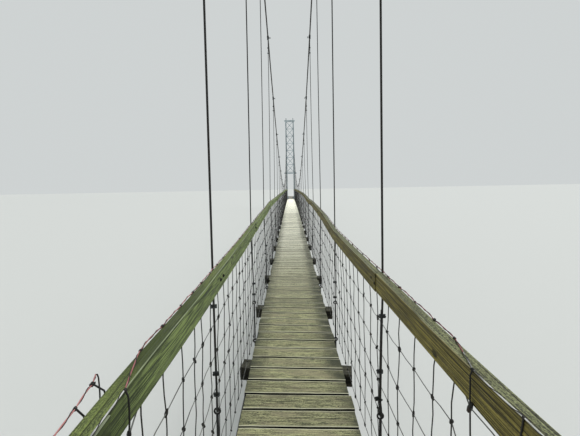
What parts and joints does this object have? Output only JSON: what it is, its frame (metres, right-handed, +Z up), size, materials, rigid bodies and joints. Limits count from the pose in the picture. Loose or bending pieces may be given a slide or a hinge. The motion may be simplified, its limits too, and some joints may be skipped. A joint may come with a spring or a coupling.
{
  "type": "suspension footbridge, 1:2 scale model",
  "caption": "Half-size narrow suspension footbridge: plank deck, timber handrails, wire rope cables and hangers, net sides, steel towers and anchor blocks.",
  "frame": {"origin": "middle of the bridge's length and width, at the level of the undersides of footings and anchor blocks", "axes": "+Y along the deck, the way the picture looks, from the near to the far tower; +Z up; +X to the right of that way"},
  "size_m": [0.8, 38.6124, 5.2704],
  "materials": {
    "deck_timber": "weathered bare planks",
    "frame_timber": "rough dark timber",
    "rail_timber": "weathered sawn timber",
    "wire_rope": "dark dull wire rope",
    "net_wire": "dark dull wire",
    "galvanised_steel": "weathered galvanising",
    "concrete": "cast concrete"
  },
  "bodies": {
    "root": {"left_main_cable": "wire_rope", "left_hangers_and_deck_cable": "wire_rope", "right_main_cable": "wire_rope", "right_hangers_and_deck_cable": "wire_rope", "near_deck_planks": "deck_timber", "near_deck_frame": "frame_timber", "middle_deck_planks": "deck_timber", "middle_deck_frame": "frame_timber", "far_deck_planks": "deck_timber", "far_deck_frame": "frame_timber", "near_left_handrail": "rail_timber", "near_left_net": "net_wire", "middle_left_handrail": "rail_timber", "middle_left_net": "net_wire", "far_left_handrail": "rail_timber", "far_left_net": "net_wire", "near_right_handrail": "rail_timber", "near_right_net": "net_wire", "middle_right_handrail": "rail_timber", "middle_right_net": "net_wire", "far_right_handrail": "rail_timber", "far_right_net": "net_wire", "near_footing": "concrete", "near_tower_left_leg": "galvanised_steel", "near_tower_left_saddle": "galvanised_steel", "near_tower_right_leg": "galvanised_steel", "near_tower_right_saddle": "galvanised_steel", "near_tower_portal_beam": "galvanised_steel", "near_tower_bracing": "galvanised_steel", "near_tower_head_beam": "galvanised_steel", "near_anchor_block": "concrete", "far_footing": "concrete", "far_tower_left_leg": "galvanised_steel", "far_tower_left_saddle": "galvanised_steel", "far_tower_right_leg": "galvanised_steel", "far_tower_right_saddle": "galvanised_steel", "far_tower_portal_beam": "galvanised_steel", "far_tower_bracing": "galvanised_steel", "far_tower_head_beam": "galvanised_steel", "far_anchor_block": "concrete"}
  },
  "joints": []
}
